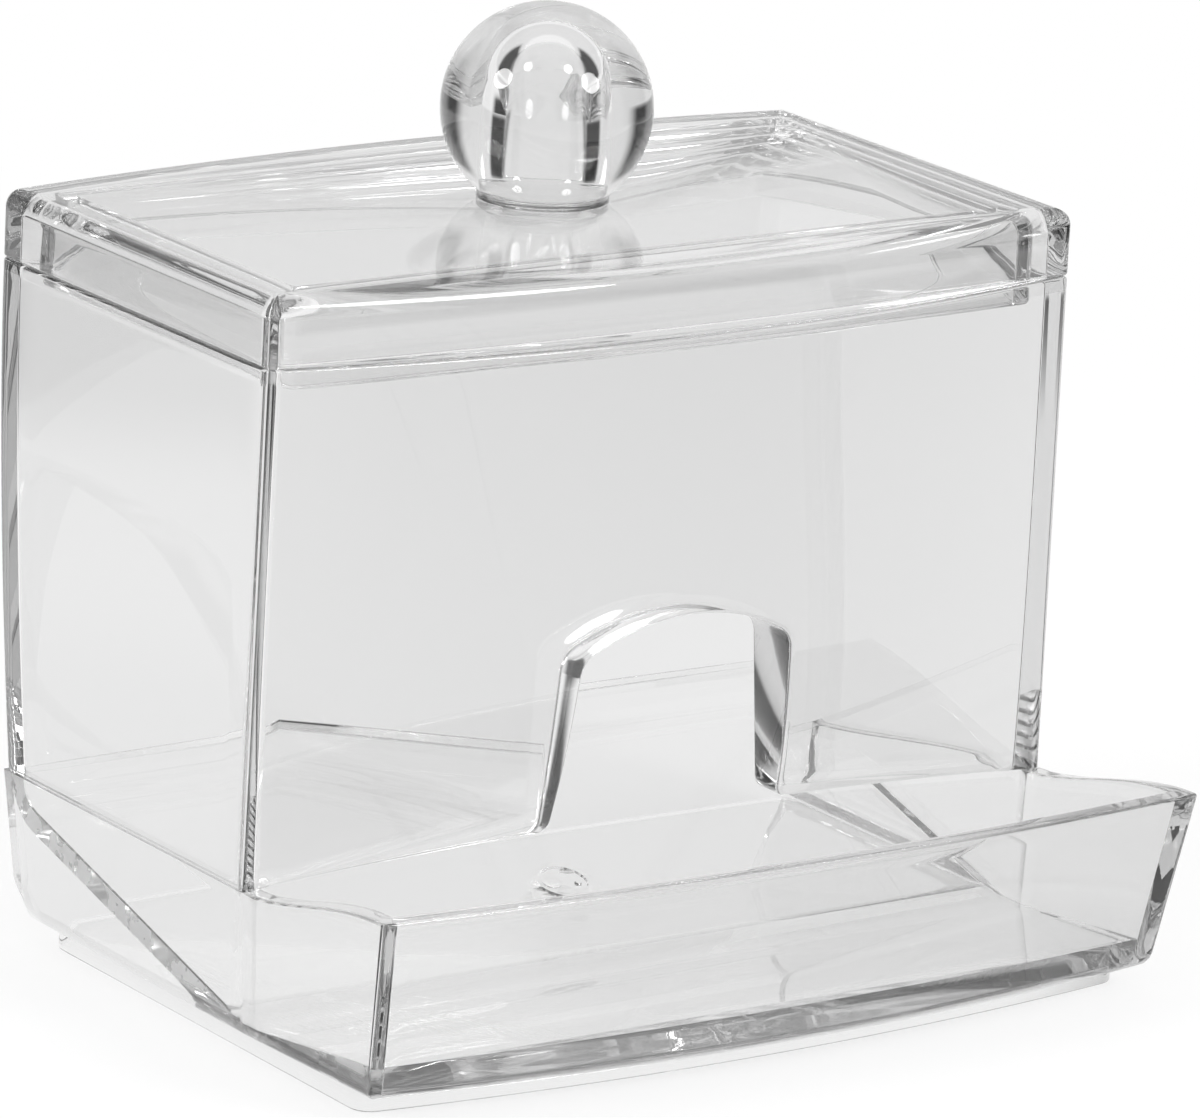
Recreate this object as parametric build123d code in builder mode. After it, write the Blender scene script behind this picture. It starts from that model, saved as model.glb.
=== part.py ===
"""Clear swab box: a hopper with an arched mouth that feeds a front tray, and a lift-off lid.

Millimetres, +Z up, the front faces -Y. The origin lies on the resting plane, under the knob.
"""
import os
from math import cos, radians, sin

from build123d import *

# Box plan at its rim
rim_half_width = 43.0
front_corner_y = -22.2
back_corner_y = 22.3
front_bow = 4.8
back_bow = 3.4
front_corner_radius = 1.2
back_corner_radius = 2.5
wall = 2.05
front_inner_y = -20.1

# Box heights, from the resting plane
plinth_height = 2.0
joint_height = 15.5
rim_height = 62.15

# How the box changes on its way down from the rim
side_flare = 0.4
back_lean = 6.6
back_lean_power = 1.7
front_bow_at_joint = 1.0
front_bow_power = 4
back_bow_at_joint = 0.6
back_bow_power = 2
box_sections = 6

# Arched mouth and the slot under the front wall
mouth_foot_half_width = 12.3
mouth_shoulder_half_width = 11.3
mouth_shoulder_height = 33.2
mouth_crown_height = 36.5
mouth_corner_radius = 2.5
slot_arch_rise = 1.8

# Base: side skirts and the leaning tray walls
base_draft = 0.5
tray_top_height = 19.4
tray_top_corner_y = -45.1
tray_top_flare = 0.4
tray_top_bow = 2.2
tray_foot_corner_y = -41.6
tray_foot_pinch = 1.1
tray_foot_bow = 3.6
tray_corner_radius = 0.8
base_edge_radius = 1.6
skirt_toe_radius = 2.2
foot_round_turns = (90, 60, 30, 0)

# Bent sheet: the ramp that carries the swabs down, and the tray's floor
sheet_thickness = 2.2
floor_thickness = 1.4
floor_front_rise = 2.0
ramp_foot_y = -20.5
ramp_seam_y = -23.5
ramp_bend_height = 13.0
ramp_bend_radius = 3.0

# Foot plinth
plinth_side_inset = 1.8
plinth_front_inset = 3.1
plinth_back_inset = 3.0
plinth_corner_radius = 2.0
plinth_bow = 3.0

# Lid
lid_side_height = 4.35
lid_top_rise = 2.0
lid_edge_radius = 1.7
lid_plate = 2.0
seam_round = 0.35
lid_rim_drop = 2.55
lid_rim_thickness = 1.6
lid_rim_side_gap = 1.5
lid_rim_front_gap = 0.5
lid_rim_back_gap = 0.5
lid_rim_corner_radius = 1.0

# Knob
knob_radius = 9.6
knob_centre_rise = 8.25
neck_radius = 6.0
neck_height = 1.0
bore_radius = 3.7
bore_top_over_centre = 5.3
stud_height = 4.0
stud_gap = 0.05

lid_side_top = rim_height + lid_side_height
lid_top = lid_side_top + lid_top_rise
lid_underside = lid_top - lid_plate
floor_top = plinth_height + floor_thickness
past_all = 3 * rim_half_width  # a reach past every face, for cuts and trims


def drop_share(height):
    """How far down from the rim a height lies, as a share of the box's height."""
    return (rim_height - height) / (rim_height - joint_height)


def half_width(height):
    """Outer half width of the box, which widens a little downwards."""
    return rim_half_width + side_flare * drop_share(height)


def back_y(height):
    """Outer back corner, which curves forwards on its way down."""
    share = (rim_height - height) / (rim_height - plinth_height)
    return back_corner_y - back_lean * share**back_lean_power


def bow_at(height, rim_bow, joint_bow, power):
    """Bow of the front or back face, which flattens towards the joint."""
    return rim_bow + (joint_bow - rim_bow) * drop_share(height) ** power


def rounded_plan(height, half_x, front, back, bow_front, bow_back, front_radius, back_radius):
    """Plan outline with straight sides and bowed ends."""
    with BuildSketch(Plane.XY.offset(height)) as plan:
        with BuildLine():
            Line((-half_x, front), (-half_x, back))
            ThreePointArc((-half_x, back), (0, back + bow_back), (half_x, back))
            Line((half_x, back), (half_x, front))
            ThreePointArc((half_x, front), (0, front - bow_front), (-half_x, front))
        make_face()
        front_vertices = plan.vertices().group_by(Axis.Y)[0]
        back_vertices = plan.vertices().group_by(Axis.Y)[-1]
        fillet(front_vertices, front_radius)
        fillet(back_vertices, back_radius)
    return plan.sketch


def box_plan(height):
    """Outer outline of the box at one height."""
    return rounded_plan(
        height,
        half_width(height),
        front_corner_y,
        back_y(height),
        bow_at(height, front_bow, front_bow_at_joint, front_bow_power),
        bow_at(height, back_bow, back_bow_at_joint, back_bow_power),
        front_corner_radius,
        back_corner_radius,
    )


def chamber_plan(height):
    """Inner outline of the box: the front face is flat, so the front wall is a lens."""
    half_x = half_width(height) - wall
    back = back_y(height) - wall
    bow = bow_at(height, back_bow, back_bow_at_joint, back_bow_power)
    inner_radius = back_corner_radius - wall
    with BuildSketch(Plane.XY.offset(height)) as plan:
        with BuildLine():
            Polyline((-half_x, back), (-half_x, front_inner_y), (half_x, front_inner_y), (half_x, back))
            ThreePointArc((half_x, back), (0, back + bow), (-half_x, back))
        make_face()
        fillet(plan.vertices(), inner_radius)
    return plan.sketch


def base_plan(height, inset=0.0, back_reach=0.0):
    """Outline of the base at one height: skirts behind the crease, flared tray in front."""
    share = (height - plinth_height) / (joint_height - plinth_height)
    skirt_x = half_width(joint_height) - base_draft * (1 - share) - inset
    back = back_y(plinth_height) + (back_y(joint_height) - back_y(plinth_height)) * share
    tray_share = (height - plinth_height) / (tray_top_height - plinth_height)
    tray_spread = tray_top_flare * tray_share - tray_foot_pinch * (1 - tray_share)
    tray_x = half_width(joint_height) + tray_spread - inset
    corner_y = tray_foot_corner_y + (tray_top_corner_y - tray_foot_corner_y) * tray_share + inset
    bow = tray_foot_bow + (tray_top_bow - tray_foot_bow) * tray_share
    back_end = back + back_reach
    with BuildSketch(Plane.XY.offset(height)) as plan:
        with BuildLine():
            Polyline((-tray_x, corner_y), (-skirt_x, front_corner_y), (-skirt_x, back_end))
            Line((-skirt_x, back_end), (skirt_x, back_end))
            Polyline((skirt_x, back_end), (skirt_x, front_corner_y), (tray_x, corner_y))
            ThreePointArc((tray_x, corner_y), (0, corner_y - bow), (-tray_x, corner_y))
        make_face()
        fillet(plan.vertices().group_by(Axis.Y)[0], tray_corner_radius)
    return plan.sketch


# Inner faces of the skirts and the tray's walls, reaching out past the open back
between_skirts = [base_plan(height, wall, wall) for height in (plinth_height, tray_top_height)]

# Upper box: four walls, open below and above, with the arched mouth in its front wall
section_step = (rim_height - joint_height) / (box_sections - 1)
section_heights = [joint_height + section_step * index for index in range(box_sections)]

with BuildPart() as hopper_box:
    loft(sections=[box_plan(height) for height in section_heights])
    fillet(hopper_box.faces().sort_by(Axis.Z)[-1].edges(), seam_round)
    loft(sections=[chamber_plan(height) for height in section_heights], mode=Mode.SUBTRACT)
    with BuildSketch(Plane.XZ.offset(-front_inner_y)) as mouth:
        with BuildLine():
            Polyline(
                (-mouth_shoulder_half_width, mouth_shoulder_height),
                (-mouth_foot_half_width, joint_height),
                (mouth_foot_half_width, joint_height),
                (mouth_shoulder_half_width, mouth_shoulder_height),
            )
            ThreePointArc(
                (mouth_shoulder_half_width, mouth_shoulder_height),
                (0, mouth_crown_height),
                (-mouth_shoulder_half_width, mouth_shoulder_height),
            )
        make_face()
        fillet(mouth.vertices().group_by(Axis.Y)[-1], mouth_corner_radius)
    extrude(amount=past_all / 2, mode=Mode.SUBTRACT)
    with BuildSketch(Plane.XZ.offset(-front_inner_y)) as slot_arch:
        slot_half = half_width(joint_height) - wall
        with BuildLine():
            Line((-slot_half, joint_height), (slot_half, joint_height))
            ThreePointArc(
                (slot_half, joint_height), (0, joint_height + slot_arch_rise), (-slot_half, joint_height)
            )
        make_face()
    extrude(amount=past_all / 2, mode=Mode.SUBTRACT)

hopper_box.part.label = "hopper_box"

# Base: two side skirts and the tray's leaning walls in one moulding, open at the back
with BuildPart() as tray_base:
    foot_round = [
        base_plan(
            plinth_height + base_edge_radius * (1 - sin(radians(turn))),
            base_edge_radius * (1 - cos(radians(turn))),
        )
        for turn in foot_round_turns
    ]
    loft(sections=[*foot_round, base_plan(tray_top_height)], ruled=True)
    with BuildSketch(Plane.YZ) as side_view:
        with BuildLine():
            Spline(
                (front_corner_y, joint_height),
                (tray_top_corner_y, tray_top_height),
                tangents=[(-1, 0), (-1, 0)],
            )
            Polyline(
                (tray_top_corner_y, tray_top_height),
                (-past_all, tray_top_height),
                (-past_all, plinth_height),
                (back_y(plinth_height), plinth_height),
                (back_y(joint_height), joint_height),
                (front_corner_y, joint_height),
            )
        make_face()
        toe = side_view.vertices().sort_by_distance((back_y(plinth_height), plinth_height))[0]
        fillet(toe, skirt_toe_radius)
    extrude(amount=past_all, both=True, mode=Mode.INTERSECT)
    loft(sections=between_skirts, mode=Mode.SUBTRACT)

tray_base.part.label = "tray_base"

# Ramp and floor: one bent sheet between the skirts, from the back wall down to the tray's front
with BuildPart() as ramp_floor:
    with BuildSketch(Plane.YZ) as ramp_side:
        with BuildLine():
            FilletPolyline(
                (ramp_seam_y, floor_top),
                (ramp_foot_y, floor_top),
                (back_y(ramp_bend_height) - wall, ramp_bend_height),
                (back_y(joint_height) - wall, joint_height),
                radius=ramp_bend_radius,
            )
            offset(amount=sheet_thickness, side=Side.RIGHT)
        make_face()
        with BuildLine():
            Polyline(
                (ramp_seam_y, floor_top),
                (tray_foot_corner_y, floor_top + floor_front_rise),
                (-past_all, floor_top + floor_front_rise),
                (-past_all, plinth_height),
                (ramp_seam_y, plinth_height),
                close=True,
            )
        make_face()
    extrude(amount=past_all, both=True)
    loft(sections=between_skirts, mode=Mode.INTERSECT)

ramp_floor.part.label = "ramp_floor"

# Foot plinth under the base
with BuildPart() as foot_plinth:
    plinth_half_x = half_width(joint_height) - base_draft - plinth_side_inset
    add(
        rounded_plan(
            0,
            plinth_half_x,
            tray_foot_corner_y + plinth_front_inset,
            back_y(plinth_height) - plinth_back_inset,
            plinth_bow,
            front_bow_at_joint,
            plinth_corner_radius,
            plinth_corner_radius,
        )
    )
    extrude(amount=plinth_height)

foot_plinth.part.label = "foot_plinth"

# Lid cover: a shallow cap whose sides carry on from the box
with BuildPart() as lid_cover:
    add(box_plan(rim_height))
    extrude(amount=lid_top - rim_height)
    fillet(lid_cover.faces().sort_by(Axis.Z)[-1].edges(), lid_edge_radius)
    fillet(lid_cover.faces().sort_by(Axis.Z)[0].edges(), seam_round)
    add(chamber_plan(rim_height))
    extrude(amount=lid_underside - rim_height, mode=Mode.SUBTRACT)

lid_cover.part.label = "lid_cover"

# Lid rim: a frame under the cover that drops into the box and keeps the lid in place
rim_frame_half_x = rim_half_width - wall - lid_rim_side_gap
rim_frame_front = front_inner_y + lid_rim_front_gap
rim_frame_back = back_corner_y - wall - lid_rim_back_gap
rim_frame_middle = (rim_frame_front + rim_frame_back) / 2

with BuildPart() as lid_rim:
    with BuildSketch(Plane.XY.offset(rim_height - lid_rim_drop)):
        with Locations((0, rim_frame_middle)):
            RectangleRounded(
                2 * rim_frame_half_x, rim_frame_back - rim_frame_front, lid_rim_corner_radius
            )
            Rectangle(
                2 * (rim_frame_half_x - lid_rim_thickness),
                rim_frame_back - rim_frame_front - 2 * lid_rim_thickness,
                mode=Mode.SUBTRACT,
            )
    extrude(amount=lid_underside - rim_height + lid_rim_drop)

lid_rim.part.label = "lid_rim"

# Knob: a ball on a short neck, with a blind round-ended bore from below
knob_centre = lid_top + knob_centre_rise

with BuildPart() as knob_ball:
    with Locations((0, 0, knob_centre)):
        Sphere(knob_radius)
    split(bisect_by=Plane.XY.offset(lid_top + neck_height), keep=Keep.TOP)
    with BuildSketch(Plane.XY.offset(lid_top)):
        Circle(neck_radius)
    extrude(amount=knob_centre_rise)
    bore_round_start = knob_centre + bore_top_over_centre - bore_radius
    with BuildSketch(Plane.XY.offset(lid_top)):
        Circle(bore_radius)
    extrude(amount=bore_round_start - lid_top, mode=Mode.SUBTRACT)
    with Locations((0, 0, bore_round_start)):
        Sphere(bore_radius, mode=Mode.SUBTRACT)

knob_ball.part.label = "knob_ball"

# Knob stud: a peg on the lid that the knob is bonded over
with BuildPart() as knob_stud:
    with BuildSketch(Plane.XY.offset(lid_top)):
        Circle(bore_radius - stud_gap)
    extrude(amount=stud_height)

knob_stud.part.label = "knob_stud"

pieces = [hopper_box, tray_base, ramp_floor, foot_plinth, lid_cover, lid_rim, knob_ball, knob_stud]
os.makedirs("parts", exist_ok=True)
for piece in pieces:
    export_step(piece.part, f"parts/{piece.part.label}.step")
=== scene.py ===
"""Looks of a clear swab box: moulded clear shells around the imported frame, lit for a white page.

Shapes are worked out in millimetres, in the frame's own axes, and become metres in make_mesh.
"""

from math import atan2, cos, pi, radians, sin, sqrt

import bmesh
import bpy
from mathutils import Matrix, Vector


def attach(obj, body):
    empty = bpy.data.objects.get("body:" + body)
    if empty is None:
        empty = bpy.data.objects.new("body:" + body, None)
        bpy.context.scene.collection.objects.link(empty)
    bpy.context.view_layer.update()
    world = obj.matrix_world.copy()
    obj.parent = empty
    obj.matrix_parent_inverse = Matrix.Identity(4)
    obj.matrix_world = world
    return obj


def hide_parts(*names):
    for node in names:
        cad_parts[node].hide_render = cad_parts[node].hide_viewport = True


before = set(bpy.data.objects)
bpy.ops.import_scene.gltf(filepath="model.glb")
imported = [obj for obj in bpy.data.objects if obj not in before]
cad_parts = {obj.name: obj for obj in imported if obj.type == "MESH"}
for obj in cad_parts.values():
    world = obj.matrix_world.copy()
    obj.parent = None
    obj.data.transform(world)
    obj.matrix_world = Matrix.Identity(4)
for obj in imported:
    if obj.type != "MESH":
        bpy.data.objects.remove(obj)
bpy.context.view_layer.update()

MM = 0.001
FLAT = 0.001  # a bow so small that the side is flat
BOND = 0.03  # how far a glued piece reaches into its neighbour, so that light passes the joint
LID_GAP = 0.04  # air under the loose lid

# Upper box
RIM_HALF = 43.0
FRONT_Y = -22.2
BACK_Y = 22.3
FRONT_BOW = 4.8
BACK_BOW = 3.4
FRONT_CORNER = 0.4
BACK_CORNER = 1.2
INNER_CORNER = 0.45
WALL = 2.05
INNER_FRONT_Y = -20.1
PLINTH_TOP = 2.0
JOINT_Z = 15.5
RIM_Z = 62.15
SIDE_FLARE = 0.4
BACK_LEAN = 6.6
BACK_LEAN_POWER = 1.7
FRONT_BOW_LOW = 1.0
FRONT_BOW_POWER = 4
BACK_BOW_LOW = 0.6
BACK_BOW_POWER = 2

# Mouth and slot in the front wall
MOUTH_FOOT = 12.3
MOUTH_SHOULDER = 11.3
MOUTH_SHOULDER_Z = 33.2
MOUTH_RISE = 3.3
MOUTH_ROUND = 2.5
MOUTH_FOOT_ROUND = 1.3
SLOT_RISE = 1.8

# Base and tray
BASE_DRAFT = 0.5
TRAY_TOP_Z = 19.4
TRAY_TOP_Y = -45.1
TRAY_TOP_HALF = 43.8
TRAY_TOP_BOW = 2.2
TRAY_FOOT_Y = -41.6
TRAY_FOOT_HALF = 42.3
TRAY_FOOT_BOW = 3.6
TRAY_CORNER = 0.45
BASE_ROUND = 1.6
TOE_ROUND = 2.2

# Bent sheet: ramp and floor
SHEET = 2.2
FLOOR_SHEET = 1.4
SHEET_SEAM_Y = -23.5
SHEET_FOOT_Y = -20.5
SHEET_BEND_Z = 13.0
SHEET_BEND = 3.0
FLOOR_RISE = 2.0

# Plinth
PLINTH_IN = 1.8
PLINTH_FRONT_IN = 3.1
PLINTH_BACK_IN = 3.0
PLINTH_CORNER = 2.0
PLINTH_BOW = 3.0

# Lid
LID_SIDE = 4.35
LID_RISE = 2.0
LID_PLATE = 2.0
LID_ROUND = 1.7
LID_LEAST_CORNER = 0.1  # the smallest corner radius that is left where the top rounds in
LID_FACE_ROW = 0.4  # share of the lid's height
LID_ROOM_ROUND = 0.6  # inner rounding between the plate and the sides
LID_ROOM_SIDE = 0.8  # depth of the first points below that rounding
RIM_DROP = 2.55
RIM_THICK = 1.6
RIM_SIDE_GAP = 1.5
RIM_END_GAP = 0.5
RIM_CORNER = 1.0
RIM_INNER_CORNER = 2.0

# Knob
KNOB_R = 9.6
KNOB_RISE = 8.25
NECK_R = 6.0
NECK_Z = 1.0
NECK_FLARE = 0.08  # how much wider the neck is just under the ball
NECK_FLARE_DROPS = (0.12, 0.3)  # depths under the ball at which it is that wide, and at which it isn't
NECK_EDGE = 0.12
BORE_R = 3.7
BORE_OVER = 5.3
BORE_EDGE = 0.1
STUD_Z = 4.0
STUD_EDGE = 0.4
STUD_FOOT_EDGE = 0.05

# Edge rounding
RIM_EDGE = 0.35
MOUTH_EDGE = 0.35
MOUTH_EDGE_FADE = 3  # the mouth's rounding fades out over this length next to the box's corners
SEAM_EDGE = 0.03
TRAY_EDGE = 0.35
TRAY_EDGE_GROWTH = 6  # the tray's rounding is complete after a sixth of its side
SHEET_EDGE = 0.12
PLINTH_EDGE = 0.3
FRAME_EDGE = 0.3
CREASE_WIDE = 0.3
CREASE_DEEP = 0.1
CRISP_TURN = 40
WELD = 1e-7  # metres
ARC_TURNS = (0, 22.5, 45, 67.5, 90)
LID_ROUND_TURNS = range(0, 91, 10)
LID_ROOM_TURNS = range(0, 91, 18)
STUD_TURNS = (0, 30, 60, 90)

# Steps of the outlines: at the corners, in front, behind and at the sides
PLINTH_STEPS = (8, 48, 12, 10)
LID_STEPS = (8, 60, 29, 14)
FRAME_STEPS = (8, 20, 20, 14)

LID_TOP = RIM_Z + LID_SIDE + LID_RISE
LID_UNDER = LID_TOP - LID_PLATE
FLOOR_TOP = PLINTH_TOP + FLOOR_SHEET


def mix(low, high, share):
    """A value between two others."""
    return low + (high - low) * share


def drop_share(z):
    """How far down from the rim a height lies, as a share of the upper box's height."""
    return (RIM_Z - z) / (RIM_Z - JOINT_Z)


def half_width(z):
    """Outer half width of the upper box."""
    return RIM_HALF + SIDE_FLARE * drop_share(z)


def back_y(z):
    """Outer back corner, which curves forwards on its way down."""
    return BACK_Y - BACK_LEAN * ((RIM_Z - z) / (RIM_Z - PLINTH_TOP)) ** BACK_LEAN_POWER


def front_bow(z):
    """Bow of the upper box's front face."""
    return mix(FRONT_BOW, FRONT_BOW_LOW, drop_share(z) ** FRONT_BOW_POWER)


def back_bow(z):
    """Bow of the upper box's back face."""
    return mix(BACK_BOW, BACK_BOW_LOW, drop_share(z) ** BACK_BOW_POWER)


def add_object(name, data):
    """A new object in the scene."""
    item = bpy.data.objects.new(name, data)
    bpy.context.scene.collection.objects.link(item)
    return item


def make_mesh(name, points, faces):
    """A closed mesh from points in millimetres."""
    mesh = bpy.data.meshes.new(name)
    mesh.from_pydata([Vector(point) * MM for point in points], [], faces)
    finish_mesh(mesh)
    return add_object(name, mesh)


def finish_mesh(mesh):
    """Outward normals and smooth faces, with crisp edges where two faces meet at a clear angle."""
    work = bmesh.new()
    work.from_mesh(mesh)
    bmesh.ops.remove_doubles(work, verts=work.verts, dist=WELD)
    bmesh.ops.recalc_face_normals(work, faces=work.faces)
    for face in work.faces:
        face.smooth = True
    for edge in work.edges:
        edge.smooth = edge.calc_face_angle(0) < radians(CRISP_TURN)
    work.to_mesh(mesh)
    work.free()


def band_faces(ring_count, column_count, close_rings, close_columns):
    """Quads between rings that hold the same number of points."""
    faces = []
    for ring in range(ring_count if close_rings else ring_count - 1):
        following = (ring + 1) % ring_count
        for column in range(column_count if close_columns else column_count - 1):
            beside = (column + 1) % column_count
            faces.append(
                (
                    ring * column_count + column,
                    ring * column_count + beside,
                    following * column_count + beside,
                    following * column_count + column,
                )
            )
    return faces


def shell(name, rings, close_rings=True, close_columns=True, caps=()):
    """A mesh from rings of points, with flat caps on the first and last ring or column."""
    columns = len(rings[0])
    faces = band_faces(len(rings), columns, close_rings, close_columns)
    if "rings" in caps:
        faces.append(tuple(range(columns)))
        faces.append(tuple((len(rings) - 1) * columns + index for index in range(columns)))
    if "columns" in caps:
        faces.append(tuple(ring * columns for ring in range(len(rings))))
        faces.append(tuple(ring * columns + columns - 1 for ring in range(len(rings))))
    return make_mesh(name, [point for ring in rings for point in ring], faces)


def bow_side(half, bow, radius, inset, corner_steps, bow_steps):
    """One bowed side of an outline from its right corner to its left, bulging towards +v.

    The sharp corners would lie at (half, 0) and (-half, 0); inset moves the whole side inwards."""
    bend = (half * half + bow * bow) / (2 * bow)
    centre = bow - bend
    bend_in = bend - inset
    round_in = radius - inset
    corner_u = half - inset - round_in
    corner_v = centre + sqrt((bend_in - round_in) ** 2 - corner_u**2)
    end_turn = atan2(corner_v - centre, corner_u)
    right = []
    for step in range(corner_steps + 1):
        turn = end_turn * step / corner_steps
        right.append((corner_u + round_in * cos(turn), corner_v + round_in * sin(turn)))
    middle = []
    for step in range(1, bow_steps):
        turn = mix(end_turn, pi - end_turn, step / bow_steps)
        middle.append((bend_in * cos(turn), centre + bend_in * sin(turn)))
    left = [(-u, v) for u, v in reversed(right)]
    return right + middle + left


def arc_height(u, half, bow, inset):
    """How far a bowed side stands out at u, from the line through its sharp corners."""
    bend = (half * half + bow * bow) / (2 * bow)
    return bow - bend + sqrt((bend - inset) ** 2 - u * u)


def outline(z, half, front, back, bows, radii, inset, steps):
    """A closed outline at a height: front from right to left, left side, back, right side."""
    corner_steps, front_steps, back_steps, side_steps = steps
    front_side = bow_side(half, bows[0], radii[0], inset, corner_steps, front_steps)
    back_side = bow_side(half, bows[1], radii[1], inset, corner_steps, back_steps)
    front_points = [(u, front - v, z) for u, v in front_side]
    back_points = [(-u, back + v, z) for u, v in back_side]
    left, right = [], []
    for step in range(1, side_steps):
        share = step / side_steps
        left.append((front_points[-1][0], mix(front_points[-1][1], back_points[0][1], share), z))
        right.append((back_points[-1][0], mix(back_points[-1][1], front_points[0][1], share), z))
    return front_points + left + back_points + right


def box_outline(z, surface, inset, steps):
    """Outline of the upper box's outer or inner surface."""
    if surface == "outer":
        bows = (front_bow(z), back_bow(z))
        radii = (FRONT_CORNER, BACK_CORNER)
        return outline(z, half_width(z), FRONT_Y, back_y(z), bows, radii, inset, steps)
    half, back = half_width(z) - WALL, back_y(z) - WALL
    bows = (FLAT, back_bow(z))
    radii = (INNER_CORNER, INNER_CORNER)
    return outline(z, half, INNER_FRONT_Y, back, bows, radii, -inset, steps)


def round_steps(radius, going_in, turns=ARC_TURNS):
    """Steps over a rounded edge: how far in from the face and how far back from the edge."""
    turns = turns if going_in else turns[::-1]
    return [(radius * (1 - cos(radians(t))), radius * (1 - sin(radians(t)))) for t in turns]


# Upper box, as columns that run from the lower edge, which climbs over the mouth, to the rim
CORNER_STEPS = 6
SIDE_STEPS = 14
BACK_STEPS = 29
BOX_ROWS = 30
SLOT_STEPS = 22
MOUTH_FOOT_STEPS = 6
JAMB_STEPS = 12
CROWN_STEPS = 26


def slot_edge(x):
    """Lower edge of the front wall, a low arch."""
    slot_half = half_width(JOINT_Z) - WALL
    return JOINT_Z + SLOT_RISE * (1 - min(abs(x) / slot_half, 1) ** 2)


def lower_path(tangent_x):
    """Lower edge of the front wall from right to left: slot, right jamb, crown, left jamb, slot."""
    foot_z = slot_edge(MOUTH_FOOT)
    reach = MOUTH_FOOT + MOUTH_FOOT_ROUND
    right = []
    for step in range(SLOT_STEPS):
        x = mix(tangent_x, reach, step / SLOT_STEPS)
        right.append((x, slot_edge(x)))
    for step in range(MOUTH_FOOT_STEPS + 1):
        turn = pi / 2 * step / MOUTH_FOOT_STEPS
        x = reach - MOUTH_FOOT_ROUND * sin(turn)
        right.append((x, foot_z + MOUTH_FOOT_ROUND * (1 - cos(turn))))
    crown = bow_side(MOUTH_SHOULDER, MOUTH_RISE, MOUTH_ROUND, 0, CORNER_STEPS, CROWN_STEPS)
    crown = [(u, MOUTH_SHOULDER_Z + v) for u, v in crown]
    for step in range(1, JAMB_STEPS):
        share = step / JAMB_STEPS
        z = mix(foot_z + MOUTH_FOOT_ROUND, crown[0][1], share)
        right.append((mix(MOUTH_FOOT, MOUTH_SHOULDER, share), z))
    left = [(-x, z) for x, z in reversed(right)]
    return right + crown + left


def front_columns(tangent_x):
    """Lower edge points of the front wall with the direction into the wall at each."""
    path = lower_path(tangent_x)
    columns = []
    for index, (x, z) in enumerate(path):
        before = path[max(index - 1, 0)]
        after = path[min(index + 1, len(path) - 1)]
        along_x, along_z = after[0] - before[0], after[1] - before[1]
        length = sqrt(along_x**2 + along_z**2)
        columns.append((x, z, along_z / length, -along_x / length))
    return columns


def outer_tangent(z):
    """Where the front face's bow meets its corner rounding."""
    side = bow_side(half_width(z), front_bow(z), FRONT_CORNER, 0, CORNER_STEPS, 2)
    return side[CORNER_STEPS][0]


def hopper_ring(surface, inset, top_z, back_from_edge, share):
    """One ring of the upper box. share runs from 0 at the lower edge to 1 at top_z."""
    count = len(LOWER) + 1
    steps = (CORNER_STEPS, count, BACK_STEPS, SIDE_STEPS)
    z_side = mix(JOINT_Z + SEAM_EDGE * back_from_edge, top_z, share)
    inset_side = inset if share else min(inset, SEAM_EDGE)
    ring = box_outline(z_side, surface, inset_side, steps)
    tangent = TANGENT_TOP if surface == "outer" else INNER_TANGENT
    for index, (x, z, into_x, into_z) in enumerate(LOWER):
        fade = min(abs(abs(x) - TANGENT_LOW) / MOUTH_EDGE_FADE, 1)
        edge = mix(SEAM_EDGE, MOUTH_EDGE, fade)
        depth = inset if share else inset * edge / MOUTH_EDGE
        low_x = x + into_x * edge * back_from_edge
        low_z = z + into_z * edge * back_from_edge
        if surface == "inner":
            out = max(0, (abs(x) - MOUTH_FOOT) / (TANGENT_LOW - MOUTH_FOOT))
            low_x *= 1 - out * (1 - INNER_TANGENT / TANGENT_LOW)
        high_x = tangent * (1 - 2 * (index + 1) / count)
        at_x = mix(low_x, high_x, share)
        at_z = mix(low_z, top_z, share)
        if surface == "outer":
            at_y = FRONT_Y - arc_height(at_x, half_width(at_z), front_bow(at_z), depth)
        else:
            at_y = INNER_FRONT_Y - depth
        ring[CORNER_STEPS + 1 + index] = (at_x, at_y, at_z)
    return ring


TANGENT_LOW = outer_tangent(JOINT_Z)
TANGENT_TOP = outer_tangent(RIM_Z)
INNER_TANGENT = RIM_HALF - WALL - INNER_CORNER
LOWER = front_columns(TANGENT_LOW)[1:-1]


def build_hopper():
    """The upper box's four walls with the mouth."""
    rings = []
    for inset, back in round_steps(MOUTH_EDGE, False):
        rings.append(hopper_ring("outer", inset, RIM_Z - RIM_EDGE, back / MOUTH_EDGE, 0))
    for row in range(1, BOX_ROWS + 1):
        rings.append(hopper_ring("outer", 0, RIM_Z - RIM_EDGE, 1, row / BOX_ROWS))
    for inset, back in round_steps(RIM_EDGE, True)[1:]:
        rings.append(hopper_ring("outer", inset, RIM_Z - back, 1, 1))
    for inset, back in round_steps(RIM_EDGE, False):
        rings.append(hopper_ring("inner", inset, RIM_Z - back, 1, 1))
    for row in range(BOX_ROWS - 1, 0, -1):
        rings.append(hopper_ring("inner", 0, RIM_Z - RIM_EDGE, 1, row / BOX_ROWS))
    for inset, back in round_steps(MOUTH_EDGE, True):
        rings.append(hopper_ring("inner", inset, RIM_Z - RIM_EDGE, back / MOUTH_EDGE, 0))
    return shell("hopper_shell", rings)


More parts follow.
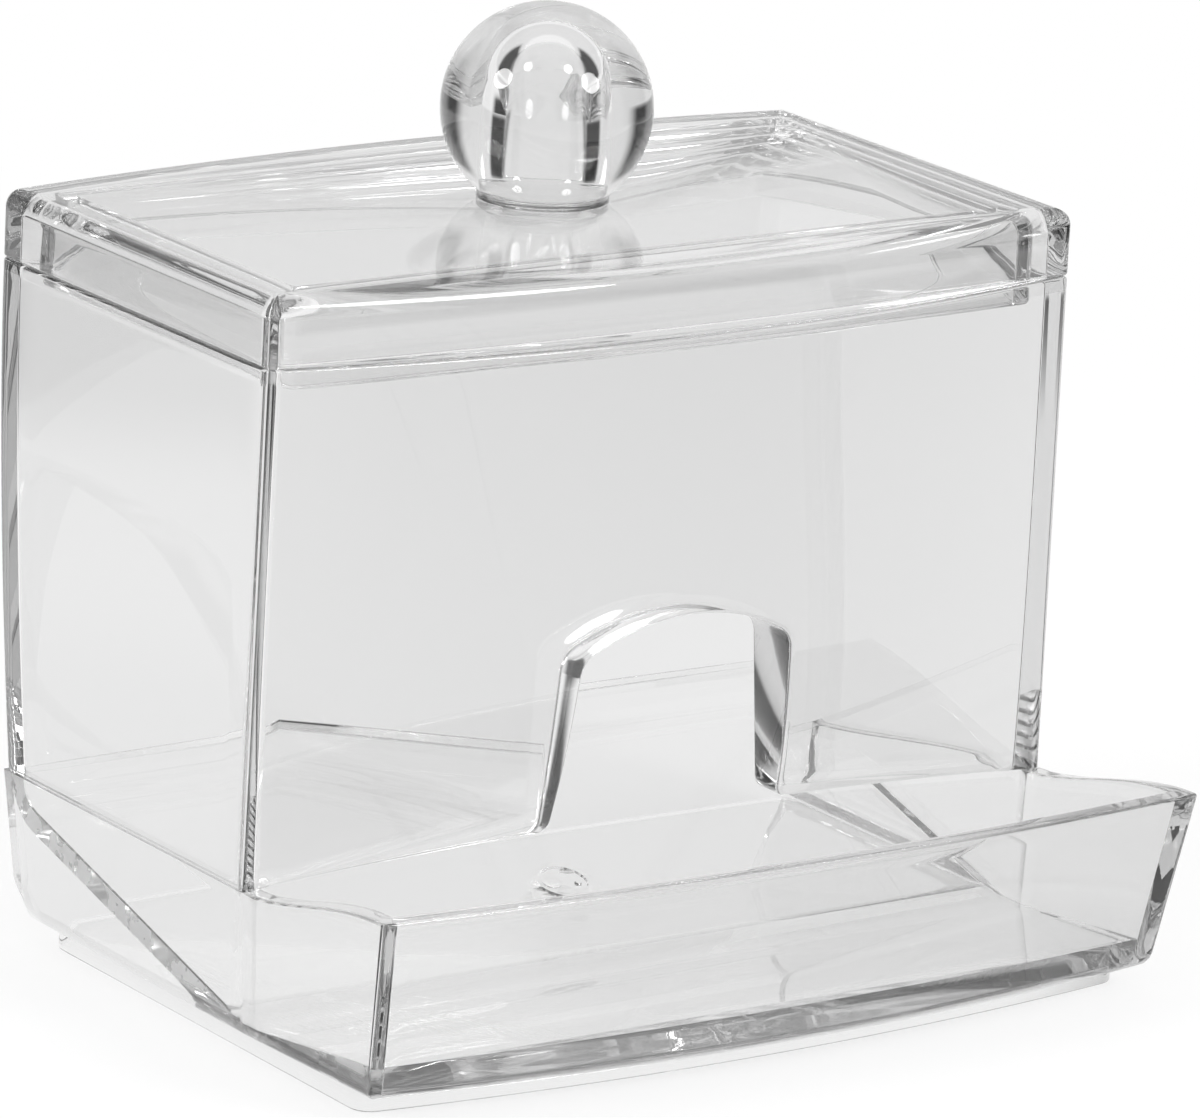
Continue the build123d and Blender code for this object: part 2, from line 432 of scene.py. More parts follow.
# Base: skirts and tray walls, as stations from the back left, around the front, to the back right
SKIRT_STEPS = 22
TRAY_SIDE_STEPS = 16
TRAY_FRONT_STEPS = 60
TRAY_CORNER_STEPS = 6
TRAY_LEAST_CORNER = 0.05  # the corner radius that is left on the walls' inside and underside
BASE_ROWS = 12
SIDE_STATIONS = SKIRT_STEPS + TRAY_SIDE_STEPS
STATIONS = 2 * SIDE_STATIONS + 2 * (TRAY_CORNER_STEPS + 1) + TRAY_FRONT_STEPS - 1


def base_sizes(z):
    """Skirt half width, back end, tray half width, tray corner y and tray bow at a height."""
    share = (z - PLINTH_TOP) / (JOINT_Z - PLINTH_TOP)
    tray_share = (z - PLINTH_TOP) / (TRAY_TOP_Z - PLINTH_TOP)
    skirt = half_width(JOINT_Z) - BASE_DRAFT * (1 - share)
    back = mix(back_y(PLINTH_TOP), back_y(JOINT_Z), share)
    tray = mix(TRAY_FOOT_HALF, TRAY_TOP_HALF, tray_share)
    corner = mix(TRAY_FOOT_Y, TRAY_TOP_Y, tray_share)
    return skirt, back, tray, corner, mix(TRAY_FOOT_BOW, TRAY_TOP_BOW, tray_share)


def stations_from_end(index):
    """How many stations lie between this one and the nearer end."""
    return min(index, STATIONS - 1 - index)


def base_station(index, z, inset):
    """Plan point of one station of the base's walls at a height, with the left side first."""
    skirt, back, tray, corner, bow = base_sizes(z)
    radius = TRAY_CORNER if inset <= TRAY_CORNER / 2 else inset + TRAY_LEAST_CORNER
    side = bow_side(tray, bow, radius, inset, TRAY_CORNER_STEPS, TRAY_FRONT_STEPS)
    from_end = stations_from_end(index)
    if from_end < SKIRT_STEPS:
        x = skirt - inset
        y = mix(back, FRONT_Y + CREASE_WIDE, from_end / (SKIRT_STEPS - 1))
    elif from_end == SKIRT_STEPS:
        x = skirt - inset - (CREASE_DEEP if inset < WALL / 2 else 0)
        y = FRONT_Y
    elif from_end < SIDE_STATIONS:
        share = (from_end - SKIRT_STEPS - 1) / (TRAY_SIDE_STEPS - 1)
        x = mix(skirt - inset, side[0][0], share)
        y = mix(FRONT_Y - CREASE_WIDE, corner - side[0][1], share)
    else:
        u, v = side[from_end - SIDE_STATIONS]
        x, y = u, corner - v
    return (-x if index == from_end else x, y, z)


def base_top(index):
    """Height of the walls' top edge at a station, and how round it is."""
    from_end = stations_from_end(index)
    if from_end <= SKIRT_STEPS:
        return JOINT_Z + BOND, SEAM_EDGE
    share = min((from_end - SKIRT_STEPS) / TRAY_SIDE_STEPS, 1)
    climb = share * share * (3 - 2 * share)
    edge = mix(SEAM_EDGE, TRAY_EDGE, min(share * TRAY_EDGE_GROWTH, 1))
    return mix(JOINT_Z + BOND, TRAY_TOP_Z, climb), edge


def base_foot(index):
    """Height of the walls' lower edge at a station: it curves up at the skirts' toes."""
    length = (back_y(PLINTH_TOP) - FRONT_Y) * stations_from_end(index) / SKIRT_STEPS
    short = max(TOE_ROUND - length, 0)
    return PLINTH_TOP + TOE_ROUND - sqrt(TOE_ROUND**2 - short**2)


def base_ring(inset, edge_inset, rise, drop, share):
    """One ring of the base's walls. share runs from 0 at the lower edge to 1 at the top edge.

    edge_inset and drop are shares of the top edge's rounding, which differs along the ring."""
    points = []
    for index in range(STATIONS):
        top, edge = base_top(index)
        z = mix(base_foot(index) + rise, top - edge * drop, share)
        points.append(base_station(index, z, inset + edge * edge_inset))
    return points


def build_base():
    """Skirts and tray walls, from the outside of the lower edge over the top to the inside."""
    rings = [base_ring(inset, 0, rise, 0, 0) for inset, rise in round_steps(BASE_ROUND, False)]
    for row in range(1, BASE_ROWS + 1):
        rings.append(base_ring(0, 0, BASE_ROUND, 1, row / BASE_ROWS))
    for inset, drop in round_steps(1, True)[1:]:
        rings.append(base_ring(0, inset, 0, drop, 1))
    for inset, drop in round_steps(1, False):
        rings.append(base_ring(WALL, -inset, 0, drop, 1))
    for row in range(BASE_ROWS - 1, -1, -1):
        rings.append(base_ring(WALL, 0, 0, 1, row / BASE_ROWS))
    return shell("base_walls", rings, True, False, ("columns",))


# Bent sheet, as stations from the tray's front to the back wall
SHEET_RUNS = ((4, 6), (30, 18))  # steps on each straight run and in the bend after it
SHEET_ACROSS = 40
FLOOR_STEPS = 26


def sheet_path():
    """Top line of the ramp in side view, from the seam to its last bend, with its slope."""
    corners = [
        (SHEET_SEAM_Y, FLOOR_TOP),
        (SHEET_FOOT_Y, FLOOR_TOP),
        (back_y(SHEET_BEND_Z) - WALL, SHEET_BEND_Z),
        (back_y(JOINT_Z) - WALL, JOINT_Z),
    ]
    angles = [atan2(far[1] - near[1], far[0] - near[0]) for near, far in zip(corners, corners[1:])]
    path = []
    start = corners[0]
    for index, (straight_steps, bend_steps) in enumerate(SHEET_RUNS):
        slope = angles[index]
        turn = angles[index + 1] - slope
        reach = SHEET_BEND * sin(turn / 2) / cos(turn / 2)
        corner = corners[index + 1]
        enter = (corner[0] - cos(slope) * reach, corner[1] - sin(slope) * reach)
        centre = (enter[0] - sin(slope) * SHEET_BEND, enter[1] + cos(slope) * SHEET_BEND)
        for step in range(straight_steps):
            share = step / straight_steps
            path.append((mix(start[0], enter[0], share), mix(start[1], enter[1], share), slope))
        for step in range(bend_steps + 1):
            angle = slope + turn * step / bend_steps
            y = centre[0] + SHEET_BEND * sin(angle)
            path.append((y, centre[1] - SHEET_BEND * cos(angle), angle))
        start = path.pop()[:2]
    path.append((*start, angles[-1]))
    return path


def inner_half(y, z):
    """Half of the width between the skirts or the tray's walls."""
    skirt, _, tray, corner, _ = base_sizes(z)
    share = min(max((FRONT_Y - y) / (FRONT_Y - corner), 0), 1)
    return mix(skirt, tray, share) - WALL - BOND


def floor_front(x, z):
    """Inner face of the tray's front wall."""
    _, _, tray, corner, bow = base_sizes(z)
    return corner - arc_height(x, tray, bow, WALL + BOND)


def sheet_section(top, under):
    """One closed section of the sheet between its top and underside points in side view."""
    share = SHEET_EDGE / SHEET
    section = []
    for side, near, far in ((1, top, under), (-1, under, top)):
        near = (inner_half(*near), *near)
        far = (inner_half(*far), *far)
        for step in range(SHEET_ACROSS + 1):
            u = side * (1 - 2 * step / SHEET_ACROSS)
            section.append((u * (near[0] - SHEET_EDGE), *near[1:]))
        for start, end in ((near, far), (far, near)):
            half, y, z = (mix(*pair, share) for pair in zip(start, end))
            section.append((-side * half, y, z))
    return section


def build_sheet():
    """Ramp and tray floor in one sheet."""
    rings = []
    slope = FLOOR_RISE / (SHEET_SEAM_Y - TRAY_FOOT_Y)
    for step in range(FLOOR_STEPS):
        share = step / FLOOR_STEPS
        y = mix(TRAY_FOOT_Y + WALL, SHEET_SEAM_Y, share)
        top = (y, FLOOR_TOP + slope * (SHEET_SEAM_Y - y))
        ring = []
        for x, _, z in sheet_section(top, (y, PLINTH_TOP)):
            at_y = mix(floor_front(x, z), SHEET_SEAM_Y, share)
            at_z = z if z < FLOOR_TOP - FLOOR_SHEET / 2 else z + slope * (y - at_y)
            ring.append((x, at_y, at_z))
        rings.append(ring)
    for y, z, angle in sheet_path():
        under = (y + SHEET * sin(angle), max(z - SHEET * cos(angle), PLINTH_TOP))
        rings.append(sheet_section((y, z), under))
    end_y, end_z = back_y(JOINT_Z), JOINT_Z + BOND
    rings.append(sheet_section((end_y - WALL, end_z), (end_y, end_z)))
    return shell("ramp_sheet", rings, False, True, ("rings",))


# Moulding mark on the ramp. A stub has its place across and along the ramp, its radius and its rise
GATE_Y = -8.7
GATE_RADIUS = 2.5
GATE_STEPS = 48
GATE_DEEP = 0.3
GATE_RIDGE = (
    (-0.25, -GATE_DEEP),
    (-0.25, 0),
    (-0.1, 0.12),
    (0.1, 0.12),
    (0.25, 0),
    (0.25, -GATE_DEEP),
)
GATE_STUBS = ((-1.15, 0.1, 0.9, 0.14), (1.2, -0.7, 0.35, 0.22))
STUB_FACE = 0.7
STUB_STEPS = 32


def build_gate_mark():
    """Moulding mark on the ramp: a low round ridge with a stub and a dot inside it."""
    slope = atan2(SHEET_BEND_Z - FLOOR_TOP, back_y(SHEET_BEND_Z) - WALL - SHEET_FOOT_Y)
    height = FLOOR_TOP + (GATE_Y - SHEET_FOOT_Y) * sin(slope) / cos(slope)
    place = Matrix.Translation(Vector((0, GATE_Y, height)) * MM) @ Matrix.Rotation(slope, 4, "X")
    turns = [2 * pi * step / GATE_STEPS for step in range(GATE_STEPS)]
    rings = []
    for off, rise in GATE_RIDGE:
        radius = GATE_RADIUS + off
        rings.append([(radius * cos(turn), radius * sin(turn), rise) for turn in turns])
    parts = [shell("mark", rings)]
    for across, along, radius, rise in GATE_STUBS:
        profile = [(0, -GATE_DEEP), (radius, -GATE_DEEP), (radius, rise / 2)]
        profile += [(radius * STUB_FACE, rise), (0, rise)]
        stub = spin("mark", profile, STUB_STEPS)
        stub.data.transform(Matrix.Translation(Vector((across, along, 0)) * MM))
        parts.append(stub)
    for part in parts:
        part.data.transform(place)
    return parts


def build_plinth():
    """Foot plinth."""
    half = half_width(JOINT_Z) - BASE_DRAFT - PLINTH_IN
    front = TRAY_FOOT_Y + PLINTH_FRONT_IN
    back = back_y(PLINTH_TOP) - PLINTH_BACK_IN
    top = PLINTH_TOP + BOND
    levels = [(rise, inset) for inset, rise in round_steps(PLINTH_EDGE, False)]
    levels += [(top - drop, inset) for inset, drop in round_steps(PLINTH_EDGE / 3, True)]
    bows = (PLINTH_BOW, FRONT_BOW_LOW)
    radii = (PLINTH_CORNER, PLINTH_CORNER)
    rings = [outline(z, half, front, back, bows, radii, inset, PLINTH_STEPS) for z, inset in levels]
    return shell("plinth", rings, False, True, ("rings",))


def lid_outer(z, inset):
    """Outline of the lid cover's outer surface."""
    radii = [max(corner, inset + LID_LEAST_CORNER) for corner in (FRONT_CORNER, BACK_CORNER)]
    return outline(z, RIM_HALF, FRONT_Y, BACK_Y, (FRONT_BOW, BACK_BOW), radii, inset, LID_STEPS)


def lid_inner(z, inset):
    """Outline of the lid cover's inner surface."""
    half, back = RIM_HALF - WALL, BACK_Y - WALL
    bows = (FLAT, BACK_BOW)
    corner = INNER_CORNER + max(0, inset)
    return outline(z, half, INNER_FRONT_Y, back, bows, (corner, corner), inset, LID_STEPS)


def build_lid_cover():
    """Lid cover, from the middle of its underside out to its skirt and up to its top."""
    foot = RIM_Z + LID_GAP
    rings = []
    for inset, drop in round_steps(LID_ROOM_ROUND, False, LID_ROOM_TURNS):
        rings.append(lid_inner(LID_UNDER - drop, inset))
    rings.append(lid_inner(LID_UNDER - LID_ROOM_SIDE, 0))
    for inset, rise in round_steps(RIM_EDGE / 2, True):
        rings.append(lid_inner(foot + rise, -inset))
    for inset, rise in round_steps(RIM_EDGE, False):
        rings.append(lid_outer(foot + rise, inset))
    rings.append(lid_outer(mix(RIM_Z, LID_TOP, LID_FACE_ROW), 0))
    for inset, drop in round_steps(LID_ROUND, True, LID_ROUND_TURNS):
        rings.append(lid_outer(LID_TOP - drop, inset))
    return shell("lid_shell", rings, False, True, ("rings",))


def build_lid_rim():
    """Locating frame under the lid cover, from its lower edge up outside and down inside."""
    half = RIM_HALF - WALL - RIM_SIDE_GAP
    front = INNER_FRONT_Y + RIM_END_GAP
    back = BACK_Y - WALL - RIM_END_GAP
    bottom, top = RIM_Z - RIM_DROP, LID_UNDER + BOND
    middle = mix(bottom, top, 0.5)
    levels = [(bottom + rise, inset, RIM_CORNER) for inset, rise in round_steps(FRAME_EDGE, False)]
    levels += [(middle, 0, RIM_CORNER), (top, 0, RIM_CORNER)]
    levels += [(top, RIM_THICK, RIM_INNER_CORNER), (middle, RIM_THICK, RIM_INNER_CORNER)]
    for inset, rise in round_steps(FRAME_EDGE, True):
        levels.append((bottom + rise, RIM_THICK - inset, RIM_INNER_CORNER))
    rings = []
    for z, inset, radius in levels:
        radii = (radius, radius)
        rings.append(outline(z, half, front, back, (FLAT, FLAT), radii, inset, FRAME_STEPS))
    return shell("lid_frame", rings)


def spin(name, profile, turns=128):
    """A solid of revolution from (radius, height) points, open or closed on the axis."""
    points, rings, faces = [], [], []
    for radius, z in profile:
        if radius == 0:
            rings.append([len(points)])
            points.append((0, 0, z))
            continue
        rings.append(list(range(len(points), len(points) + turns)))
        for step in range(turns):
            angle = 2 * pi * step / turns
            points.append((radius * cos(angle), radius * sin(angle), z))
    for near, far in zip(rings, rings[1:]):
        for step in range(turns):
            beside = (step + 1) % turns
            if len(near) == 1:
                faces.append((near[0], far[beside], far[step]))
            elif len(far) == 1:
                faces.append((near[step], near[beside], far[0]))
            else:
                faces.append((near[step], near[beside], far[beside], far[step]))
    return make_mesh(name, points, faces)


BALL_STEPS = 72
BORE_STEPS = 14
DOME_STEPS = 24


def build_knob():
    """Knob ball with its neck and bore."""
    centre = LID_TOP + KNOB_RISE
    base = LID_TOP - BOND
    neck_top = LID_TOP + NECK_Z
    low_turn = atan2(neck_top - centre, sqrt(KNOB_R**2 - (centre - neck_top) ** 2))
    profile = [(0, centre + KNOB_R)]
    for step in range(1, BALL_STEPS + 1):
        turn = mix(pi / 2, low_turn, step / BALL_STEPS)
        profile.append((KNOB_R * cos(turn), centre + KNOB_R * sin(turn)))
    profile += [
        (NECK_R + NECK_FLARE, neck_top - NECK_FLARE_DROPS[0]),
        (NECK_R, neck_top - NECK_FLARE_DROPS[1]),
        (NECK_R, base + NECK_EDGE),
        (NECK_R - NECK_EDGE, base),
        (BORE_R + BORE_EDGE, base),
        (BORE_R, base + BORE_EDGE),
    ]
    dome = centre + BORE_OVER - BORE_R
    for step in range(1, BORE_STEPS):
        profile.append((BORE_R, mix(base + BORE_EDGE, dome, step / BORE_STEPS)))
    for step in range(DOME_STEPS):
        turn = pi / 2 * step / DOME_STEPS
        profile.append((BORE_R * cos(turn), dome + BORE_R * sin(turn)))
    profile.append((0, dome + BORE_R))
    return spin("knob_ball_clear", profile)


def build_stud():
    """Knob stud, a peg with a rounded top."""
    radius = BORE_R + BOND
    base = LID_TOP - BOND
    top = LID_TOP + STUD_Z
    profile = [(0, base), (radius - STUD_FOOT_EDGE, base), (radius, base + STUD_FOOT_EDGE)]
    for inset, drop in round_steps(STUD_EDGE, True, STUD_TURNS):
        profile.append((radius - inset, top - drop))
    profile.append((0, top))
    return spin("knob_peg", profile)


def math_node(tree, operation, first, second=0):
    """A math node on one or two sockets or numbers."""
    node = tree.nodes.new("ShaderNodeMath")
    node.operation = operation
    for socket, value in zip(node.inputs, (first, second)):
        if isinstance(value, (int, float)):
            socket.default_value = value
        else:
            tree.links.new(value, socket)
    return node.outputs[0]


def product(tree, first, *others):
    """The product of sockets or numbers."""
    for other in others:
        first = math_node(tree, "MULTIPLY", first, other)
    return first


def ramp_node(tree, value, start, end, low=0, high=1):
    """A smooth step from low to high while the value goes from start to end."""
    node = tree.nodes.new("ShaderNodeMapRange")
    node.interpolation_type = "SMOOTHSTEP"
    tree.links.new(value, node.inputs["Value"])
    for name, number in (("From Min", start), ("From Max", end), ("To Min", low), ("To Max", high)):
        node.inputs[name].default_value = number
    return node.outputs[0]


def window_node(tree, value, near, full, fading, gone):
    """1 while the value lies between full and fading, and 0 before near and after gone."""
    return product(tree, ramp_node(tree, value, near, full), ramp_node(tree, value, gone, fading))


def split_node(tree, vector):
    """The three parts of a vector."""
    node = tree.nodes.new("ShaderNodeSeparateXYZ")
    tree.links.new(vector, node.inputs[0])
    return node.outputs


# Clear plastic, and the sawn edge of the ramp
WALL_TINT = (0.97, 0.97, 0.97, 1)
PLASTIC_IOR = 1.57
HAZE = 8.0  # how strongly the plastic absorbs light, per metre
WAVE_SIZE = 18
WAVE_DEEP = 0.004
WAVE_DETAIL = 1.5
SAWN_FACING = (0.8, 0.95)  # how squarely a face looks sideways before it counts as sawn
SAWN_ABOVE = (0.3, 1.2)  # where the sawn look begins above the floor
MOTTLE_SIZE = 2.2
MOTTLE_DETAIL = 3
MOTTLE_CUT = (0.42, 0.56)  # noise values between which a spot turns from clear to matt
MOTTLE_MATT = (0.15, 0.9)  # how matt the clearest and the most matt spots are
MATT_ROUGHNESS = 0.5


def sawn_edges(tree, place, shader):
    """Matt, mottled edges on the sheet's sides, above the floor, where it was sawn and bonded."""
    facing = math_node(tree, "ABSOLUTE", split_node(tree, place.outputs["Normal"])[0])
    height = split_node(tree, place.outputs["Object"])[2]
    above = ramp_node(tree, height, *((FLOOR_TOP + rise) * MM for rise in SAWN_ABOVE))
    mottle = tree.nodes.new("ShaderNodeTexNoise")
    mottle.inputs["Scale"].default_value = 1 / (MOTTLE_SIZE * MM)
    mottle.inputs["Detail"].default_value = MOTTLE_DETAIL
    tree.links.new(place.outputs["Object"], mottle.inputs["Vector"])
    matt = ramp_node(tree, mottle.outputs["Fac"], *MOTTLE_CUT, *MOTTLE_MATT)
    matt = product(tree, matt, ramp_node(tree, facing, *SAWN_FACING), above)
    tree.links.new(math_node(tree, "SUBTRACT", 1, matt), shader.inputs["Transmission Weight"])
    tree.links.new(product(tree, matt, MATT_ROUGHNESS), shader.inputs["Roughness"])


def clear_plastic(name, seed, sawn):
    """Clear moulded plastic with a slow waviness in its surface."""
    material = bpy.data.materials.new(name)
    material.use_nodes = True
    nodes, links = material.node_tree.nodes, material.node_tree.links
    shader = nodes["Principled BSDF"]
    shader.inputs["Base Color"].default_value = WALL_TINT
    shader.inputs["Roughness"].default_value = 0
    shader.inputs["IOR"].default_value = PLASTIC_IOR
    shader.inputs["Transmission Weight"].default_value = 1
    place = nodes.new("ShaderNodeTexCoord")
    wave = nodes.new("ShaderNodeTexNoise")
    wave.noise_dimensions = "4D"
    wave.inputs["W"].default_value = seed
    wave.inputs["Scale"].default_value = 1 / (WAVE_SIZE * MM)
    wave.inputs["Detail"].default_value = WAVE_DETAIL
    links.new(place.outputs["Object"], wave.inputs["Vector"])
    bump = nodes.new("ShaderNodeBump")
    bump.inputs["Strength"].default_value = 1
    bump.inputs["Distance"].default_value = WAVE_DEEP * MM
    links.new(wave.outputs["Fac"], bump.inputs["Height"])
    links.new(bump.outputs["Normal"], shader.inputs["Normal"])
    if sawn:
        sawn_edges(material.node_tree, place, shader)
    haze = nodes.new("ShaderNodeVolumeAbsorption")
    haze.inputs["Color"].default_value = (0, 0, 0, 1)
    haze.inputs["Density"].default_value = HAZE
    links.new(haze.outputs["Volume"], nodes["Material Output"].inputs["Volume"])
    return material


def join_pieces(name, first, second):
    """Two overlapping closed pieces made one, without faces inside."""
    union = first.modifiers.new("union", "BOOLEAN")
    union.operation = "UNION"
    union.solver = "EXACT"
    union.object = second
    scene_state = bpy.context.evaluated_depsgraph_get()
    mesh = bpy.data.meshes.new_from_object(first.evaluated_get(scene_state))
    bpy.data.objects.remove(first)
    bpy.data.objects.remove(second)
    finish_mesh(mesh)
    return add_object(name, mesh)


def build_ramp():
    """The bent sheet with its moulding mark, in one piece."""
    ramp = build_sheet()
    for mark in build_gate_mark():
        ramp = join_pieces("ramp_sheet", ramp, mark)
    return ramp


# One piece for each node of the frame: its body, its finish and the seed of its waviness
pieces = {
    "ramp_floor": (build_ramp(), "box", "clear_body", 3),
    "hopper_box": (build_hopper(), "box", "clear_body", 1),
    "tray_base": (build_base(), "box", "clear_body", 2),
    "foot_plinth": (build_plinth(), "box", "clear_body", 4),
    "lid_cover": (build_lid_cover(), "lid", "clear_lid", 5),
    "lid_rim": (build_lid_rim(), "lid", "clear_lid", 6),
    "knob_ball": (build_knob(), "lid", "clear_knob", 7),
    "knob_stud": (build_stud(), "lid", "clear_knob", 8),
}
for node, (piece, body, slot, seed) in pieces.items():
    piece.data.materials.append(clear_plastic("clear_" + node, seed, node == "ramp_floor"))
    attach(piece, body)
    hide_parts(node)


# Studio: a round white page, a pale backdrop with two dark flags beside the box, two patches of the
# page that are dark only to light mirrored inside the plastic, which paint dark reflections into it,
# and two round lamps.
# Turns are in degrees from the direction in which the camera looks, to the right, heights in degrees
# above the horizon, and lengths in metres.
VIEW_TURN = 35.343
BACKDROP = 0.84
OVERHEAD = 1.0
OVERHEAD_HEIGHT = (30, 42)
FRONT_ROOM = 0.8
FRONT_ROOM_TURN = (100, 120)
HORIZON = 0.1  # sine of the height at which the page's level has become the backdrop's
FLAG_TURN = (40, 52, 82, 94)
FLAG_HEIGHT = (-13, -9, 26, 36)
FLAG_DARKNESS = 0.985
PAGE_RADIUS = 0.37
PAGE_STEPS = 96
PAGE_THROUGH = 0.83  # level of the page through the plastic
PAGE_MIRRORED = 1.0  # level of the page in a reflection
PAPER = 0.9
GLOW_SPREAD = (0.09, 0.30)  # the page's glow grows over this distance from its middle
GLOW_SHARE = (0.8, 1.0)  # share of the glow there: the paper shows the rest, with its shadows
# Painted dark reflections: these patches darken the page only for light mirrored inside the plastic,
# so that they paint dark bands into its reflections.
DARK_REFLECTION_PATCHES = (  # turns and distances on the page, seen only by light that was mirrored in the plastic
    ((-96, -84, -58, -40), (0.20, 0.25)),
    ((52, 62, 152, 166), (0.045, 0.065)),
)
LAMPS = ((-85, 34), (158.7, 35))  # turn from the frame's back, and height
LAMP_AIM = (0, 0, 0.05)
LAMP_DISTANCE = 0.8
LAMP_SIZE = 0.28
LAMP_POWER = 2.4
BOUNCES = 40


def view_parts(tree, vector):
    """A direction or place split into right, away and up, with away pointing along the view."""
    turn = tree.nodes.new("ShaderNodeVectorRotate")
    turn.rotation_type = "Z_AXIS"
    turn.inputs["Angle"].default_value = radians(VIEW_TURN)
    tree.links.new(vector, turn.inputs["Vector"])
    return split_node(tree, turn.outputs[0])


def build_world():
    """Backdrop, flags and room around the page."""
    world = bpy.data.worlds.new("studio")
    world.use_nodes = True
    tree = world.node_tree
    place = tree.nodes.new("ShaderNodeTexCoord")
    path = tree.nodes.new("ShaderNodeLightPath")
    right, away, up = view_parts(tree, place.outputs["Generated"])
    aside = math_node(tree, "ABSOLUTE", math_node(tree, "ARCTAN2", right, away))
    flag = product(
        tree,
        window_node(tree, aside, *(radians(turn) for turn in FLAG_TURN)),
        window_node(tree, up, *(sin(radians(height)) for height in FLAG_HEIGHT)),
        FLAG_DARKNESS,
    )
    front = (radians(turn) for turn in FRONT_ROOM_TURN)
    room = ramp_node(tree, aside, *front, BACKDROP, FRONT_ROOM)
    low = ramp_node(tree, up, -HORIZON, HORIZON, PAGE_THROUGH, BACKDROP)
    overhead = (sin(radians(height)) for height in OVERHEAD_HEIGHT)
    high = ramp_node(tree, up, *overhead, 0, OVERHEAD)
    room = math_node(tree, "MAXIMUM", math_node(tree, "MINIMUM", room, low), high)
    lit = product(tree, room, math_node(tree, "SUBTRACT", 1, flag))
    seen = math_node(tree, "MAXIMUM", lit, path.outputs["Is Camera Ray"])
    tree.nodes["Background"].inputs["Color"].default_value = (1, 1, 1, 1)
    tree.links.new(seen, tree.nodes["Background"].inputs["Strength"])
    bpy.context.scene.world = world


def page_level(tree, right, away, spread):
    """Level of the page's glow: white to the eye, less through the plastic, and dark in patches seen
    only in reflections inside the plastic, which paints dark reflections there.
    """
    path = tree.nodes.new("ShaderNodeLightPath")
    reflections = path.outputs["Glossy Depth"]
    mirrored = math_node(tree, "MINIMUM", reflections, 1)
    mirrored_inside = product(tree, reflections, path.outputs["Transmission Depth"])
    mirrored_inside = math_node(tree, "MINIMUM", mirrored_inside, 1)
    aside = math_node(tree, "ARCTAN2", right, away)
    # Painted dark reflections: patches of the page that darken only light mirrored inside the plastic.
    painted_dark_reflections = 0
    for turns, reach in DARK_REFLECTION_PATCHES:
        dark_patch = window_node(tree, aside, *(radians(turn) for turn in turns))
        dark_patch = product(tree, dark_patch, ramp_node(tree, spread, *reach))
        painted_dark_reflections = math_node(tree, "MAXIMUM", dark_patch, painted_dark_reflections)
    painted_dark_reflections = product(tree, painted_dark_reflections, mirrored_inside)
    level = product(tree, mirrored, PAGE_MIRRORED - PAGE_THROUGH)
    level = math_node(tree, "ADD", level, PAGE_THROUGH)
    level = product(tree, level, math_node(tree, "SUBTRACT", 1, painted_dark_reflections))
    return math_node(tree, "MAXIMUM", level, path.outputs["Is Camera Ray"])


def paper_material():
    """White paper that glows, so that it takes only a faint shadow."""
    material = bpy.data.materials.new("page_paper")
    material.use_nodes = True
    tree = material.node_tree
    paper = tree.nodes["Principled BSDF"]
    paper.inputs["Base Color"].default_value = (PAPER, PAPER, PAPER, 1)
    paper.inputs["Roughness"].default_value = 1
    paper.inputs["Specular IOR Level"].default_value = 0
    place = tree.nodes.new("ShaderNodeTexCoord")
    right, away, _ = view_parts(tree, place.outputs["Object"])
    spread = math_node(tree, "ADD", product(tree, right, right), product(tree, away, away))
    spread = math_node(tree, "SQRT", spread)
    glow = tree.nodes.new("ShaderNodeEmission")
    tree.links.new(page_level(tree, right, away, spread), glow.inputs["Strength"])
    blend = tree.nodes.new("ShaderNodeMixShader")
    tree.links.new(ramp_node(tree, spread, *GLOW_SPREAD, *GLOW_SHARE), blend.inputs["Fac"])
    tree.links.new(paper.outputs[0], blend.inputs[1])
    tree.links.new(glow.outputs[0], blend.inputs[2])
    tree.links.new(blend.outputs[0], tree.nodes["Material Output"].inputs["Surface"])
    return material


def build_page():
    """Round white page under the part."""
    mesh = bpy.data.meshes.new("page")
    turns = [2 * pi * step / PAGE_STEPS for step in range(PAGE_STEPS)]
    rim = [(PAGE_RADIUS * cos(turn), PAGE_RADIUS * sin(turn), 0) for turn in turns]
    mesh.from_pydata(rim, [], [tuple(range(PAGE_STEPS))])
    mesh.materials.append(paper_material())
    add_object("page", mesh)


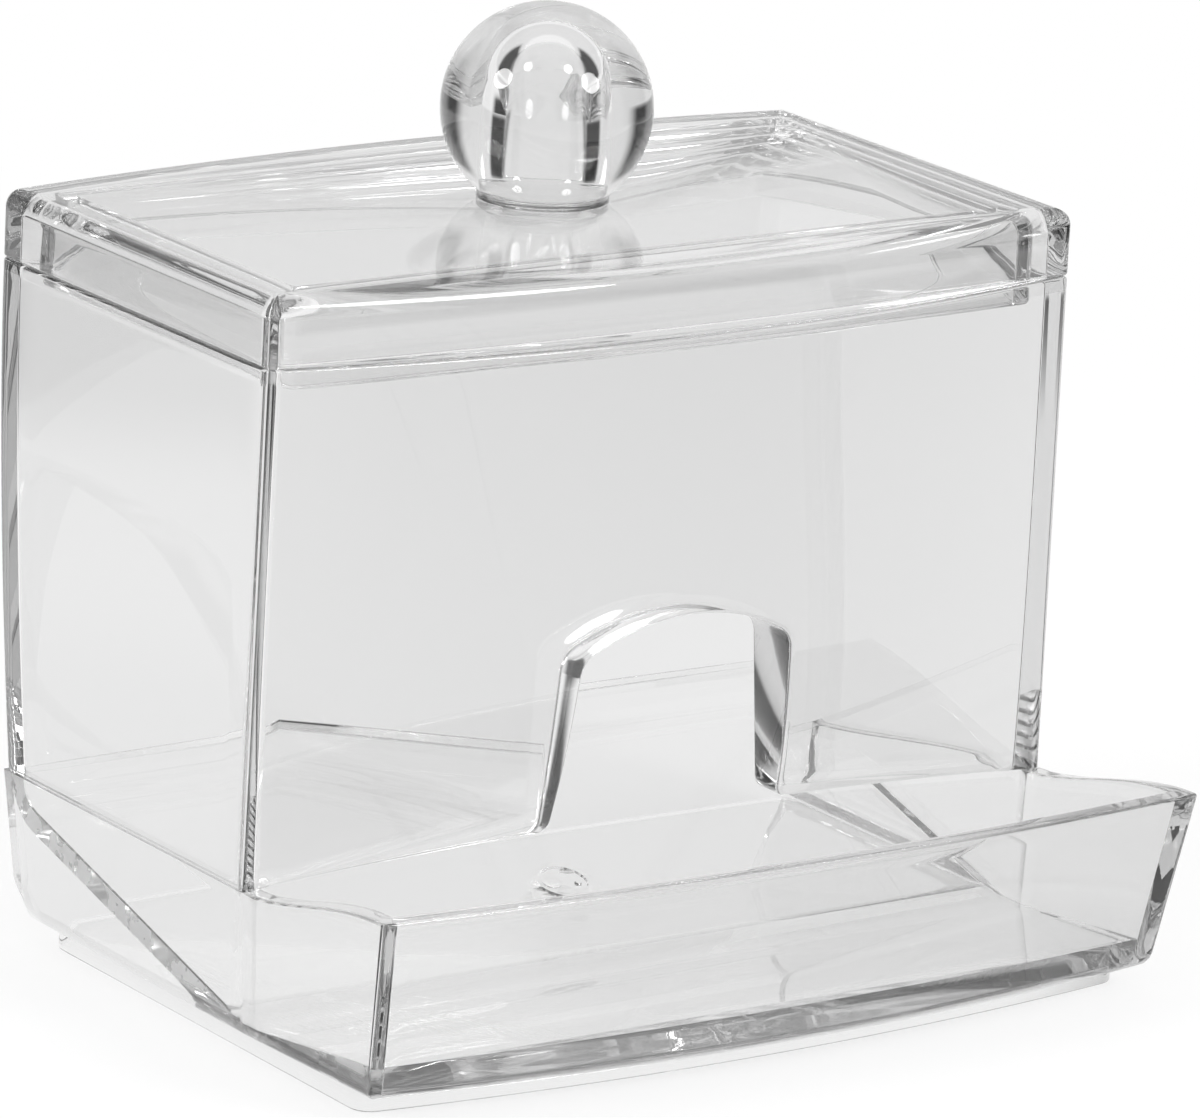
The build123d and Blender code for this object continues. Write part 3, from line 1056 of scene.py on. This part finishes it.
def build_lamps():
    """Two round lamps, one beside the part and one in front of it."""
    for turn, height in LAMPS:
        turn, height = radians(turn), radians(height)
        towards = Vector((sin(turn) * cos(height), cos(turn) * cos(height), sin(height)))
        light = bpy.data.lights.new("lamp", "AREA")
        light.shape = "DISK"
        light.size = LAMP_SIZE
        light.energy = LAMP_POWER
        lamp = add_object("lamp", light)
        lamp.location = Vector(LAMP_AIM) + towards * LAMP_DISTANCE
        lamp.rotation_euler = towards.to_track_quat("Z", "Y").to_euler()
        lamp.visible_camera = False


build_world()
build_page()
build_lamps()
bpy.context.scene.cycles.max_bounces = BOUNCES
bpy.context.scene.cycles.transmission_bounces = BOUNCES
bpy.context.scene.cycles.glossy_bounces = BOUNCES

# Camera, fitted to the photograph, with its lengths in millimetres
CAMERA_AZIMUTH = -VIEW_TURN
CAMERA_ELEVATION = 15.572
CAMERA_ROLL = 3.0
CAMERA_DISTANCE = 790.3
CAMERA_SHIFT = (6.607, -5.031)
CAMERA_TARGET = (0, 0, 40)
FOCAL_PIXELS = 8724
PHOTO_WIDTH = 1200
SENSOR = 36

azimuth, elevation, roll = (radians(a) for a in (CAMERA_AZIMUTH, CAMERA_ELEVATION, CAMERA_ROLL))
back_axis = Vector((sin(azimuth) * cos(elevation), -cos(azimuth) * cos(elevation), sin(elevation)))
level_axis = Vector((cos(azimuth), sin(azimuth), 0))
raised_axis = back_axis.cross(level_axis)
right_axis = level_axis * cos(roll) + raised_axis * sin(roll)
up_axis = raised_axis * cos(roll) - level_axis * sin(roll)
eye = Vector(CAMERA_TARGET) + back_axis * CAMERA_DISTANCE
eye += right_axis * CAMERA_SHIFT[0] + up_axis * CAMERA_SHIFT[1]

camera = add_object("camera", bpy.data.cameras.new("camera"))
camera.data.sensor_width = SENSOR
camera.data.lens = FOCAL_PIXELS / PHOTO_WIDTH * SENSOR
axes = Matrix((right_axis, up_axis, back_axis)).transposed().to_4x4()
camera.matrix_world = Matrix.Translation(eye * MM) @ axes
bpy.context.scene.camera = camera

bpy.context.scene.view_settings.view_transform = "Standard"
